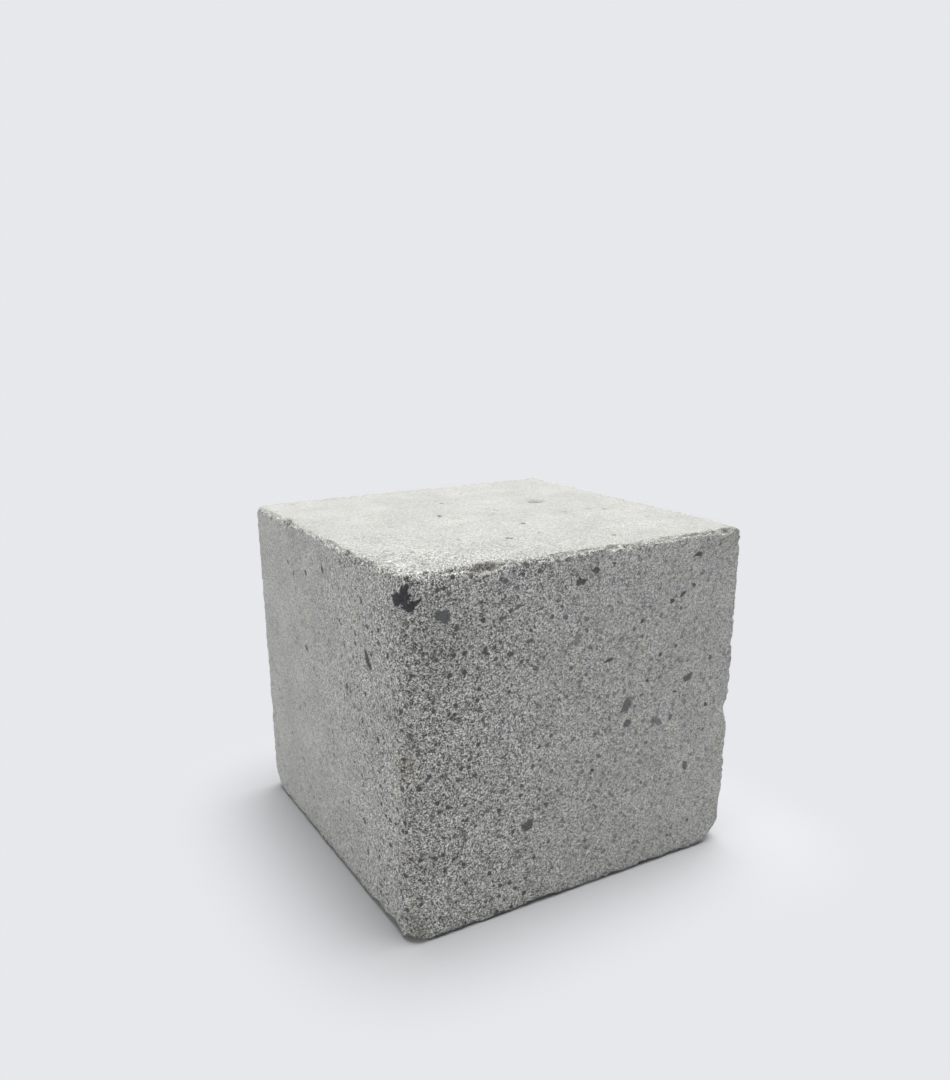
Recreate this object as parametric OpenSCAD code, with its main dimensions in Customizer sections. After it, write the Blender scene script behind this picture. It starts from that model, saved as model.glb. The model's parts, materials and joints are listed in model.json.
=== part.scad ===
// A light grey stone block with worn edges, and the dark and pale grains that are set in it.
// Origin: the centre of the underside. +Z is up, -Y is the front face and -X is the left face.
// Lengths are in millimetres. A place on a face is [across, up] in percent of that face, seen
// from outside the block, so that the grains keep their pattern when the block changes size.

/* [Block] */
// Width of the block, along X
block_w = 50; // [40:1:60]
// Depth of the block, along Y
block_d = 50; // [40:1:60]
// Height of the block, along Z
block_h = 46; // [36:1:56]

/* [Worn edges] */
// Radius of the upright edge at the front left, the most worn one
front_edge_r = 2.2; // [1.5:0.1:3]
// Radius of the other three upright edges
upright_r = 0.9; // [0.5:0.1:1.5]
// Radius of the eight edges round the top and the underside
rim_r = 0.7; // [0.4:0.1:1.2]
// Depth of a full chip below the rounded edge
chip_bite = 0.6; // [0.3:0.1:1]
// Reach of the broken corner at the front right of the underside
corner_reach = 4; // [2:0.5:6]
// Depth of a pit at its middle
pit_depth = 0.35; // [0.2:0.05:0.8]

/* [Grains] */
// Depth of a grain, as a multiple of its mean width, half of it inside the stone
grain_depth = 1.2; // [0.8:0.1:2]
// Gap between a grain and the stone round it
bond_gap = 0; // [0:0.01:0.05]
// Width of the smallest scattered grains
small_grain_w = 0.5; // [0.4:0.05:0.6]
// Width of the largest scattered grains on the three hidden faces
large_grain_w = 2; // [1.5:0.1:2.5]
// Rows and columns of scattered grains on each hidden face
scatter_rows = 5; // [3:1:6]

/* [Hidden] */
$fn = 48;
turned_front = [90, 0, 0];
turned_right = [90, 0, 90];
turned_back = [90, 0, 180];
turned_left = [90, 0, 270];
turned_down = [180, 0, 0];
turned_edge = [90, 0, -45];

// How much of a sharp edge its rounding takes off, as a share of its radius
round_loss = sqrt(2) - 1;

// A face: its turn, the corner of the block at its lower left seen from outside, its size and
// how far its surface lies behind its plane. FRONT_EDGE is the worn edge at the front left.
FRONT = [turned_front, [-1, -1, 0], [block_w, block_h], 0];
RIGHT = [turned_right, [1, -1, 0], [block_d, block_h], 0];
BACK = [turned_back, [1, 1, 0], [block_w, block_h], 0];
LEFT = [turned_left, [-1, 1, 0], [block_d, block_h], 0];
TOP = [[0, 0, 0], [-1, -1, 1], [block_w, block_d], 0];
BASE = [turned_down, [-1, 1, 0], [block_w, block_d], 0];
FRONT_EDGE = [turned_edge, [-1, -1, 0], [block_w, block_h], round_loss * front_edge_r];

// The large grains: name, face, place, [width, height] and tilt
DARK_GRAINS = [
    ["corner_grain_upper", FRONT_EDGE, [-1, 94], [2.4, 1.7], 25],
    ["corner_grain_lower", FRONT, [3, 92.5], [2.6, 1.3], 22],
    ["round_grain", FRONT, [10, 88.5], [2.1, 1.8], 15],
    ["rim_grain_left", FRONT, [47.5, 91.5], [1.4, 0.9], -8],
    ["rim_grain_right", FRONT, [52, 94], [1.2, 1], 0],
    ["rim_sliver", FRONT, [84.5, 94], [1.6, 0.5], 4],
    ["slanted_sliver", FRONT, [80, 83], [1.3, 0.5], -38],
    ["tall_grain", FRONT, [63, 54], [1.4, 2.3], -14],
    ["tall_grain_foot", FRONT, [63.5, 48], [0.9, 1.1], 0],
    ["flat_grain", FRONT, [56.5, 68], [1.4, 0.5], 5],
    ["leaning_grain", FRONT, [83.5, 57.5], [1.7, 0.9], 30],
    ["low_right_grain", FRONT, [84, 29.5], [0.9, 1.5], 0],
    ["low_left_grain", FRONT, [33, 25.5], [1.9, 1.4], -12],
    ["shoulder_grain_left", FRONT, [21, 77.5], [1.1, 0.9], 20],
    ["shoulder_grain_right", FRONT, [28, 75.5], [1, 0.9], -15],
    ["left_face_grain", LEFT, [81, 73.5], [1.6, 2.1], -20],
    ["left_face_upper_grain", LEFT, [54, 91], [0.8, 1.3], 0],
    ["left_face_middle_grain", LEFT, [38.5, 63], [1.2, 0.7], 10],
];
PALE_GRAINS = [
    ["pale_grain_upper", FRONT, [47, 76], [1.3, 1.2], 10],
    ["pale_grain_lower", FRONT, [73, 46.5], [1.6, 1.2], -10],
    ["top_pale_grain", TOP, [35.5, 12.5], [1.3, 1.7], -20],
];

// The small grains of the three faces in sight: across, up and width
FRONT_SMALL = [
    [26.5, 95, 0.6], [28, 87, 0.7], [3.5, 83, 0.6], [14, 82.5, 0.5], [8.5, 78, 0.6], [7, 71.5, 0.6],
    [5.5, 66, 0.7], [12, 62, 0.7], [12, 58, 0.5], [64, 80, 0.5], [67, 81.5, 0.6], [67, 77.5, 0.7],
    [76.5, 81.5, 0.6], [83.5, 85, 0.8], [79.5, 79, 0.5], [78.5, 68, 0.6], [73.5, 66.5, 0.5],
    [69.5, 59.5, 0.6], [79, 54, 0.8], [78, 46.5, 0.9], [90.5, 47.5, 0.6], [90, 39.5, 0.5],
    [57.5, 51, 1], [53, 47.5, 0.6], [52.5, 36.5, 0.5], [54.5, 40.5, 0.7], [47.5, 40.5, 0.6],
    [36.5, 44, 0.6], [42, 33.5, 0.5], [37.5, 28, 0.6], [29, 28, 0.5], [26, 38, 1],
    [21.5, 33.5, 0.6], [19.5, 36.5, 0.5], [22.5, 41, 0.5], [10.5, 47, 0.7], [5.5, 47, 0.5],
    [13, 22.5, 0.6], [16.5, 12.5, 0.5], [33, 12, 0.6], [39.5, 18.5, 0.5], [63.5, 19, 0.5],
    [66, 20.5, 0.6], [69, 28, 0.7], [64, 27, 0.5], [75.5, 27.5, 0.6], [79.5, 7.5, 0.8],
    [86.5, 10.5, 0.7], [91, 62, 0.6], [86, 88, 0.6], [87.5, 49.5, 0.5], [57.5, 95, 0.5],
    [43.5, 82.5, 0.7], [12, 94, 0.8],
];
LEFT_SMALL = [
    [41.5, 87, 0.8], [31.5, 84.5, 0.8], [47.5, 79.5, 0.6], [64, 79, 0.7], [81.5, 82.5, 0.7],
    [72, 71, 0.8], [64.5, 69, 0.7], [49, 71, 0.5], [67, 61, 0.8], [62.5, 58.5, 0.5], [85, 44, 0.8],
    [74.5, 35, 0.8], [74.5, 24, 0.8], [54.5, 16.5, 0.5], [55, 9.5, 0.5], [27.5, 87, 0.7],
];
TOP_SMALL = [
    [40, 20.5, 0.9], [53, 34, 1], [72, 42, 1.1], [28.5, 25.5, 0.6], [39, 56, 0.7], [48.5, 72, 0.7],
    [10, 41, 0.6], [87, 24, 0.6], [64.5, 9.5, 0.6],
];

// Each face's chips: place on its edge, direction of the edge, length and share of chip_bite
UP = [0, 1];
DOWN = [0, -1];
TO_RIGHT = [1, 0];
CHIPS = [
    [FRONT, [6, 100], UP, 3, 0.5],
    [FRONT, [13.5, 100], UP, 1.8, 0.6],
    [FRONT, [21.5, 100], UP, 3, 1.2],
    [FRONT, [39, 100], UP, 6, 0.4],
    [FRONT, [58.5, 100], UP, 5, 0.4],
    [FRONT, [75, 100], UP, 7, 0.3],
    [FRONT, [93.5, 100], UP, 1.5, 0.8],
    [RIGHT, [3, 100], UP, 6, 1.1],
    [FRONT, [100, 44], TO_RIGHT, 4, 1.2],
    [FRONT, [100, 10.5], TO_RIGHT, 7, 0.6],
    [FRONT, [38.5, 0], DOWN, 7, 0.4],
    [LEFT, [26.5, 100], UP, 2.5, 1],
    [LEFT, [59.5, 100], UP, 5, 0.5],
    [LEFT, [90, 0], DOWN, 5, 1.3],
    [LEFT, [81, 0], DOWN, 4, 1],
    [LEFT, [100, 51], TO_RIGHT, 3.5, 0.8],
    [BACK, [35, 100], UP, 5, 1],
    [BACK, [70, 0], DOWN, 6, 1.1],
    [RIGHT, [45, 100], UP, 4, 0.9],
    [RIGHT, [62, 0], DOWN, 5, 1],
    [RIGHT, [100, 70], TO_RIGHT, 5, 1],
    [BACK, [100, 30], TO_RIGHT, 4, 0.9],
];
// Broken corners: which corner, and how far the break reaches as a share of corner_reach
BROKEN_CORNERS = [
    [[1, -1, 0], 1],
    [[-1, 1, 0], 0.9],
    [[-1, -1, 0], 0.7],
    [[1, 1, 0], 0.6],
    [[-1, 1, 1], 0.5],
];
// Pits: face, place and width
PITS = [
    [TOP, [74.5, 60.5], 2.6],
    [TOP, [20.5, 67], 1.8],
    [TOP, [57, 54.5], 1.6],
    [LEFT, [23.5, 39.5], 1.6],
    [RIGHT, [33, 64], 1.8],
    [RIGHT, [70, 30], 1.3],
    [BACK, [62, 45], 1.7],
    [BASE, [40, 70], 2],
];

// Polar angle of a cut that meets three edges at equal reach
corner_cut_tilt = acos(1 / sqrt(3));
SCATTER_SEEDS = [11, 23, 37];
scatter_margin = 8;
scatter_gap = 100 - 2 * scatter_margin;

module stone_colour() color([0.66, 0.66, 0.64]) children();
module dark_colour() color([0.27, 0.28, 0.29]) children();
module pale_colour() color([0.78, 0.78, 0.75]) children();

// Places its children on a face, with X across, Y up and Z out of the block
module on_face(face, place)
    translate([face[1].x * block_w / 2, face[1].y * block_d / 2, face[1].z * block_h])
        rotate(face[0])
            translate([place.x * face[2].x / 100, place.y * face[2].y / 100, -face[3]])
                children();

// A bar along Z with four equally rounded long edges
module rounded_bar(width, depth, length, r) {
    cube([width - 2 * r, depth, length], center = true);
    cube([width, depth - 2 * r, length], center = true);
    for (x = [-1, 1], y = [-1, 1])
        translate([x * (width / 2 - r), y * (depth / 2 - r), 0])
            cylinder(h = length, r = r, center = true);
}

// What the wear takes off a sharp upright edge at the front left
module worn_off_edge(r)
    translate([-block_w / 2, -block_d / 2, 0]) difference() {
        translate([-r, -r, -block_h]) cube([2 * r, 2 * r, 2 * block_h]);
        translate([r, r, 0]) cylinder(h = 3 * block_h, r = r, center = true);
    }

module rounded_block()
    translate([0, 0, block_h / 2])
        difference() {
            intersection() {
                rounded_bar(block_w, block_d, block_h, upright_r);
                rotate([90, 0, 0]) rounded_bar(block_w, block_h, block_d, rim_r);
                rotate([0, 90, 0]) rounded_bar(block_h, block_d, block_w, rim_r);
            }
            worn_off_edge(front_edge_r);
        }

// A ball that bites a chip of this length and depth out of a rounded edge
module chip(face, place, away, length, bite) {
    ball_r = (pow(length / 2, 2) + pow(bite, 2)) / (2 * bite);
    edge_r = away.x == 0 ? rim_r : face == LEFT ? front_edge_r : upright_r;
    out = (ball_r - bite - round_loss * edge_r) / sqrt(2);
    on_face(face, place) translate([away.x * out, away.y * out, out]) sphere(r = ball_r);
}

// A flat break across a corner, reaching this far along its three edges
module corner_break(corner, reach) {
    tilt = corner.z == 0 ? 180 - corner_cut_tilt : corner_cut_tilt;
    translate([corner.x * block_w / 2, corner.y * block_d / 2, corner.z * block_h])
        rotate([0, tilt, atan2(corner.y, corner.x)])
            translate([-reach, -reach, -reach / sqrt(3)])
                cube([2 * reach, 2 * reach, 2 * reach]);
}

// A shallow round hollow in a face
module pit(face, place, width) {
    ball_r = (pow(width / 2, 2) + pow(pit_depth, 2)) / (2 * pit_depth);
    on_face(face, place) translate([0, 0, ball_r - pit_depth]) sphere(r = ball_r);
}

module worn_block()
    difference() {
        rounded_block();
        for (c = CHIPS) chip(c[0], c[1], c[2], c[3], c[4] * chip_bite);
        for (b = BROKEN_CORNERS) corner_break(b[0], b[1] * corner_reach);
    }

// An angular grain centred on its face: three boxes turned different ways and cut by each other
module grain(face, place, size, tilt, grown = 0) {
    size = size + [1, 1] * 2 * grown;
    depth = grain_depth * (size.x + size.y) / 2;
    corner_square = 0.58 * (size.x + size.y);
    on_face(face, place) rotate([0, 0, tilt]) intersection() {
        cube([size.x, size.y, depth], center = true);
        rotate([0, 0, 45]) cube([corner_square, corner_square, depth], center = true);
        rotate([26, -20, 0]) cube([size.x, size.y, depth] * 1.1, center = true);
    }
}

module small_grains(face, places, grown = 0)
    for (i = [0 : len(places) - 1])
        let (p = places[i])
            grain(face, [p[0], p[1]], [p[2], p[2] * (0.7 + 0.3 * cos(90 * i))], 70 * i, grown);

// Grains over a hidden face: one in each square of a grid, most of them small
module scattered_grains(face, seed, grown = 0) {
    count = scatter_rows * scatter_rows;
    step = scatter_gap / scatter_rows;
    across = rands(0.25, 0.75, count, seed);
    up = rands(0.25, 0.75, count, seed + 1);
    share = rands(0, 1, count, seed + 2);
    for (i = [0 : count - 1]) {
        column = i % scatter_rows;
        row = floor(i / scatter_rows);
        width = small_grain_w + (large_grain_w - small_grain_w) * pow(share[i], 4);
        place = [scatter_margin, scatter_margin] + step * [column + across[i], row + up[i]];
        grain(face, place, [width, width * (0.6 + 0.4 * across[i])], 180 * share[i], grown);
    }
}

module large_grain(g, grown = 0) grain(g[1], g[2], g[3], g[4], grown);

// The lower corner grain lies against the upper one, and is cut back where they meet
module large_grain_piece(g)
    difference() {
        intersection() {
            large_grain(g);
            worn_block();
        }
        if (g[0] == DARK_GRAINS[1][0]) large_grain(DARK_GRAINS[0], bond_gap);
    }

module stone_body()
    stone_colour() difference() {
        worn_block();
        for (p = PITS) pit(p[0], p[1], p[2]);
        for (g = concat(DARK_GRAINS, PALE_GRAINS)) large_grain(g, bond_gap);
        small_grains(FRONT, FRONT_SMALL, bond_gap);
        small_grains(LEFT, LEFT_SMALL, bond_gap);
        small_grains(TOP, TOP_SMALL, bond_gap);
        scattered_grains(RIGHT, SCATTER_SEEDS[0], bond_gap);
        scattered_grains(BACK, SCATTER_SEEDS[1], bond_gap);
        scattered_grains(BASE, SCATTER_SEEDS[2], bond_gap);
    }

module front_small_grains() set_in_block() small_grains(FRONT, FRONT_SMALL);
module left_small_grains() set_in_block() small_grains(LEFT, LEFT_SMALL);
module top_small_grains() set_in_block() small_grains(TOP, TOP_SMALL);
module right_grains() set_in_block() scattered_grains(RIGHT, SCATTER_SEEDS[0]);
module back_grains() set_in_block() scattered_grains(BACK, SCATTER_SEEDS[1]);
module base_grains() set_in_block() scattered_grains(BASE, SCATTER_SEEDS[2]);

// Cuts dark grains off flush with the worn faces of the block
module set_in_block()
    dark_colour() intersection() {
        children();
        worn_block();
    }

stone_body();
for (g = DARK_GRAINS) dark_colour() large_grain_piece(g);
for (g = PALE_GRAINS) pale_colour() large_grain_piece(g);
front_small_grains();
left_small_grains();
top_small_grains();
right_grains();
back_grains();
base_grains();
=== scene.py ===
"""A worn block of grey stone with dark and pale grains set in it.

The file is laid out as a Blender add-on and run as a script. Lengths are in metres, in the frame
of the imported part: +Z up, the front face towards -Y, the left face towards -X."""

import json
import math

import bmesh
import bpy
import numpy as np
from bpy.props import FloatProperty, FloatVectorProperty, IntProperty, PointerProperty
from mathutils import Euler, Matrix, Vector, noise
from mathutils.bvhtree import BVHTree


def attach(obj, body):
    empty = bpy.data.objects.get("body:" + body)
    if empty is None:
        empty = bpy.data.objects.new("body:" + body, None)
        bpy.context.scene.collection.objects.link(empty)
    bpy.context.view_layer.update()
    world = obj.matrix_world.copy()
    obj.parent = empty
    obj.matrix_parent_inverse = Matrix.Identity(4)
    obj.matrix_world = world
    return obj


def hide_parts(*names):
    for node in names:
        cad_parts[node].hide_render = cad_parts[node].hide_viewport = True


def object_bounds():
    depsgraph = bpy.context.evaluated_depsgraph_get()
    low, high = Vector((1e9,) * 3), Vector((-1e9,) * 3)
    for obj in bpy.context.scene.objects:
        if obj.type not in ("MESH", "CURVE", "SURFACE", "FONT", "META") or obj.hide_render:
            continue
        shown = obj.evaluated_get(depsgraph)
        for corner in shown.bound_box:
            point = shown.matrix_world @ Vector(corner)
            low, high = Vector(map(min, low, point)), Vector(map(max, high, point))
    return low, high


bl_info = {
    "name": "Grained stone block",
    "version": (1, 0, 0),
    "blender": (4, 5, 0),
    "location": "3D View > Sidebar > Stone block",
    "description": "Builds a worn stone block and the grains set in it round a packed part",
    "category": "Add Mesh",
}

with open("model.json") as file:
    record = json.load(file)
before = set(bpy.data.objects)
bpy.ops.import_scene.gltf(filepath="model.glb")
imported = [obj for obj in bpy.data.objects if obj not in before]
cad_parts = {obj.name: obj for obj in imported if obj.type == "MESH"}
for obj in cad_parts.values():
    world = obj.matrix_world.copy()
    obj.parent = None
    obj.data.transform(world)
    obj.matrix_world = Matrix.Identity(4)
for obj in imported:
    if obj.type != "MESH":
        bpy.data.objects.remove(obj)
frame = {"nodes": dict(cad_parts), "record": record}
CAD_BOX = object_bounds()
LOW, HIGH = CAD_BOX
SIZE = HIGH - LOW
CENTRE = (LOW + HIGH) / 2

BODY = "root"
STONE_NODE = "stone_body"
SLOT_OF_NODE = {part["node"]: part["material_slot"] for part in frame["record"]["subparts"]}
SMALL_GRAIN_NODES = [name for name in frame["nodes"] if name.endswith("_grains")]
LARGE_GRAIN_NODES = [
    name for name in frame["nodes"] if name != STONE_NODE and name not in SMALL_GRAIN_NODES
]
BLACKEST_GRAINS = ("corner_grain_upper", "corner_grain_lower")
# How light each grain may be, from and to, as multiples of its material's colour
COMMON_TONES = (1.05, 1.25)
TONES = {
    "corner_grain_upper": (1.1, 1.2), "corner_grain_lower": (1.2, 1.3), "round_grain": (1.2, 1.3),
    "flat_grain": (1.05, 1.15), "tall_grain": (1.6, 1.7), "tall_grain_foot": (1.6, 1.7),
    "leaning_grain": (1.4, 1.5), "low_right_grain": (1.5, 1.6), "low_left_grain": (1.25, 1.35),
    "left_face_grain": (0.9, 1.0), "left_face_upper_grain": (1.4, 1.5),
    "left_face_middle_grain": (1.6, 1.7), "pale_grain_upper": (0.8, 0.85),
    "pale_grain_lower": (0.68, 0.72), "top_pale_grain": (1.2, 1.25),
    "front_small_grains": (0.85, 2.2), "left_small_grains": (0.9, 1.9),
    "top_small_grains": (1.5, 2.4), "right_grains": (0.9, 2.2), "back_grains": (0.9, 2.2),
    "base_grains": (0.9, 2.2),
}
MM = 0.001
PATCH_SIZE = 6 * MM
BUMP_STONE = 0.07 * MM
BUMP_GRAIN = 0.05 * MM
# Darkest colour, as a share of the stone's: for the sand's dark specks, and painted shade in pits,
# pores and hollows
DARK_SPECK_AND_PIT_SHADE = 0.24
# How much of the block's dust lies on a grain of each material
DUST = {"dark_grain": 0.45, "black_grain": 0.15, "pale_grain": 0.3, "small_dark_grain": 0.7}
FIRST_SMALL_SEED = 100


# ---------------------------------------------------------------- settings


class StoneSettings(bpy.types.PropertyGroup):
    """Sizes and colours of the stone"""

    fine_step: FloatProperty(
        name="Fine step", description="Mesh spacing beside the edges",
        default=0.14 * MM, unit="LENGTH",
    )
    coarse_step: FloatProperty(
        name="Coarse step", description="Mesh spacing in the middle of a face",
        default=0.46 * MM, unit="LENGTH",
    )
    edge_band: FloatProperty(
        name="Edge band", description="Width of the finely meshed band beside an edge",
        default=1.5 * MM, unit="LENGTH",
    )
    crumb_depth: FloatProperty(
        name="Crumb depth", description="Depth of the fine roughness of a face",
        default=0.10 * MM, unit="LENGTH",
    )
    sway_depth: FloatProperty(
        name="Sway depth", description="Depth of the slow hollows of a face",
        default=0.10 * MM, unit="LENGTH",
    )
    edge_crumble: FloatProperty(
        name="Edge crumble", description="Depth of the crumbling along an edge",
        default=0.45 * MM, unit="LENGTH",
    )
    pore_depth: FloatProperty(
        name="Pore depth", description="Depth of a pore", default=0.35 * MM, unit="LENGTH",
    )
    sand_size: FloatProperty(
        name="Sand size", description="Size of the sand grains of the stone",
        default=0.14 * MM, unit="LENGTH",
    )
    coarseness: FloatProperty(
        name="Coarseness", description="How strongly the sand grains differ in tone",
        default=0.85, min=0, max=3,
    )
    front_coarseness: FloatProperty(
        name="Front coarseness", description="What is added beside the worn front upright edge",
        default=0.9, min=0, max=3,
    )
    edge_coarseness: FloatProperty(
        name="Edge coarseness", description="What is added along the crumbling edges",
        default=0.3, min=0, max=3,
    )
    far_calm: FloatProperty(
        name="Far calm", description="How much smoother the stone is away from the front edge",
        default=0.3, subtype="FACTOR", min=0, max=1,
    )
    top_calm: FloatProperty(
        name="Top calm", description="How much smoother the top is than the sides",
        default=0.5, subtype="FACTOR", min=0, max=1,
    )
    colour: FloatVectorProperty(
        name="Colour", description="Mean colour of the stone",
        default=(0.50, 0.50, 0.482), subtype="COLOR", size=3, min=0, max=1,
    )
    stain_colour: FloatVectorProperty(
        name="Stain colour", description="Colour of the brownish stains",
        default=(0.285, 0.275, 0.225), subtype="COLOR", size=3, min=0, max=1,
    )
    edge_colour: FloatVectorProperty(
        name="Edge colour", description="Colour of the freshly worn edges",
        default=(0.50, 0.495, 0.46), subtype="COLOR", size=3, min=0, max=1,
    )


class GrainSettings(bpy.types.PropertyGroup):
    """Sizes and colours of the grains"""

    proud: FloatProperty(
        name="Proud", description="How far the middle of a grain stands out of the stone",
        default=0.035 * MM, unit="LENGTH",
    )
    growth: FloatProperty(
        name="Growth", description="How much larger the grains are than their outlines",
        default=1.15, min=0.5, max=2,
    )
    raggedness: FloatProperty(
        name="Raggedness", description="How far a grain's outline strays in and out",
        default=0.13 * MM, unit="LENGTH",
    )
    seat_depth: FloatProperty(
        name="Seat depth",
        description="How deep a grain sits in the stone, as a share of its width",
        default=0.5, subtype="FACTOR", min=0.2, max=1,
    )
    large_rings: IntProperty(
        name="Large grain detail", description="Subdivisions of a large grain",
        default=5, min=2, max=6,
    )
    small_rings: IntProperty(
        name="Small grain detail", description="Subdivisions of a small grain",
        default=4, min=2, max=6,
    )
    black: FloatVectorProperty(
        name="Black grain", description="Colour of the blackest grains",
        default=(0.045, 0.045, 0.048), subtype="COLOR", size=3, min=0, max=1,
    )
    dark: FloatVectorProperty(
        name="Dark grain", description="Colour of the dark grains",
        default=(0.105, 0.108, 0.108), subtype="COLOR", size=3, min=0, max=1,
    )
    pale: FloatVectorProperty(
        name="Pale grain", description="Colour of the pale grains",
        default=(0.33, 0.335, 0.325), subtype="COLOR", size=3, min=0, max=1,
    )


class StageSettings(bpy.types.PropertyGroup):
    """The floor, the light and the camera"""

    backdrop: FloatVectorProperty(
        name="Backdrop", description="Colour of the backdrop and of the floor far from the block",
        default=(0.799, 0.807, 0.839), subtype="COLOR", size=3, min=0, max=1,
    )
    floor_colour: FloatVectorProperty(
        name="Floor colour", description="Colour of the floor beside the block",
        default=(0.57, 0.575, 0.59), subtype="COLOR", size=3, min=0, max=1,
    )
    floor_size: FloatProperty(
        name="Floor size", description="Width of the floor", default=6.0, unit="LENGTH",
    )
    shadow_reach: FloatProperty(
        name="Shadow reach", description="Distance over which the lit floor fades to the backdrop",
        default=22 * MM, unit="LENGTH",
    )
    sky_strength: FloatProperty(
        name="Sky strength", description="Brightness of the light from all round", default=0.11,
    )
    lamp_strength: FloatProperty(
        name="Lamp strength", description="Strength of the wide lamp above the block", default=4.3,
    )
    lamp_width: FloatProperty(
        name="Lamp width", description="Angle that the wide lamp spans",
        default=math.radians(60), subtype="ANGLE",
    )
    lamp_way: FloatVectorProperty(
        name="Lamp way", description="Direction from the block to the wide lamp",
        default=(0.25, 0.05, 1.0), subtype="XYZ", size=3,
    )
    fill_strength: FloatProperty(
        name="Fill strength", description="Strength of the low lamp on the left", default=0.83,
    )
    fill_width: FloatProperty(
        name="Fill width", description="Angle that the low lamp spans",
        default=math.radians(40), subtype="ANGLE",
    )
    fill_way: FloatVectorProperty(
        name="Fill way", description="Direction from the block to the low lamp",
        default=(-1.0, -0.12, 0.35), subtype="XYZ", size=3,
    )
    camera_place: FloatVectorProperty(
        name="Camera place", description="Where the camera stands",
        default=(-0.06532, -0.11121, 0.07086), subtype="TRANSLATION", size=3,
    )
    camera_heading: FloatProperty(
        name="Camera heading", description="Turn of the camera about Z; 0 looks along +Y",
        default=math.radians(-29.88), subtype="ANGLE",
    )
    camera_pitch: FloatProperty(
        name="Camera pitch", description="How far the camera looks down",
        default=math.radians(16.95), subtype="ANGLE",
    )
    camera_roll: FloatProperty(
        name="Camera roll", description="Turn of the camera about its own axis",
        default=math.radians(-0.49), subtype="ANGLE",
    )
    lens: FloatProperty(
        name="Lens", description="Focal length in millimetres", default=31.066,
    )
    lens_shift: FloatProperty(
        name="Lens shift", description="Upward shift of the view, as a share of its height",
        default=0.0676,
    )


# ---------------------------------------------------------------- node helpers


def feed(tree, socket, value):
    """An input linked to an output, or set to a plain value."""
    if isinstance(value, bpy.types.NodeSocket):
        tree.links.new(value, socket)
    else:
        socket.default_value = value


def add_node(tree, kind, inputs=None, **settings):
    """A node of a tree with its settings, and its inputs set or linked."""
    node = tree.nodes.new(kind)
    for name, value in settings.items():
        setattr(node, name, value)
    for name, value in (inputs or {}).items():
        feed(tree, node.inputs[name], value)
    return node


def maths(tree, operation, *values, clamp=False):
    """The output of a Math node on these values."""
    node = add_node(
        tree, "ShaderNodeMath", dict(enumerate(values)), operation=operation, use_clamp=clamp
    )
    return node.outputs[0]


def remap(tree, value, low, high, to_low=0.0, to_high=1.0):
    """value taken smoothly from low..high to to_low..to_high."""
    node = add_node(
        tree, "ShaderNodeMapRange",
        {"Value": value, "From Min": low, "From Max": high, "To Min": to_low, "To Max": to_high},
        interpolation_type="SMOOTHSTEP",
    )
    return node.outputs["Result"]


def mix_colour(tree, factor, a, b, blend="MIX"):
    """The colour mixed from a to b by factor."""
    node = add_node(tree, "ShaderNodeMix", data_type="RGBA", blend_type=blend)
    for index, value in ((0, factor), (6, a), (7, b)):
        feed(tree, node.inputs[index], value)
    return node.outputs[2]


def opaque(colour):
    """A colour with its alpha."""
    return (*colour, 1.0)


def new_group(name, inputs, outputs):
    """An empty shader node group with named sockets, and its input and output nodes."""
    group = bpy.data.node_groups.new(name, "ShaderNodeTree")
    for label, kind, default in inputs:
        socket = group.interface.new_socket(label, in_out="INPUT", socket_type=kind)
        if default is not None:
            socket.default_value = default
    for label, kind in outputs:
        group.interface.new_socket(label, in_out="OUTPUT", socket_type=kind)
    return group, group.nodes.new("NodeGroupInput"), group.nodes.new("NodeGroupOutput")


def use_group(tree, group, inputs):
    """A node that holds this group, with its inputs set or linked."""
    node = tree.nodes.new("ShaderNodeGroup")
    node.node_tree = group
    for name, value in inputs.items():
        feed(tree, node.inputs[name], value)
    return node


def colour_channel(tree, colour, channel):
    """One channel of a colour output."""
    return add_node(tree, "ShaderNodeSeparateColor", {"Color": colour}).outputs[channel]


def grey(tree, value):
    """A grey of this value."""
    node = add_node(tree, "ShaderNodeCombineColor", {"Red": value, "Green": value, "Blue": value})
    return node.outputs["Color"]


def scaled_place(tree, place, size):
    """A place measured in units of this size."""
    node = add_node(tree, "ShaderNodeVectorMath", {0: place}, operation="SCALE")
    tree.links.new(maths(tree, "DIVIDE", 1.0, size), node.inputs["Scale"])
    return node.outputs[0]


# ---------------------------------------------------------------- shared effects


def noise_value(tree, place, scale, detail, roughness=0.5, distortion=0.0):
    """Smooth noise round 0.5."""
    node = add_node(
        tree, "ShaderNodeTexNoise",
        {"Vector": place, "Scale": scale, "Detail": detail, "Roughness": roughness,
         "Distortion": distortion},
    )
    return node.outputs["Fac"]


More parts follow.
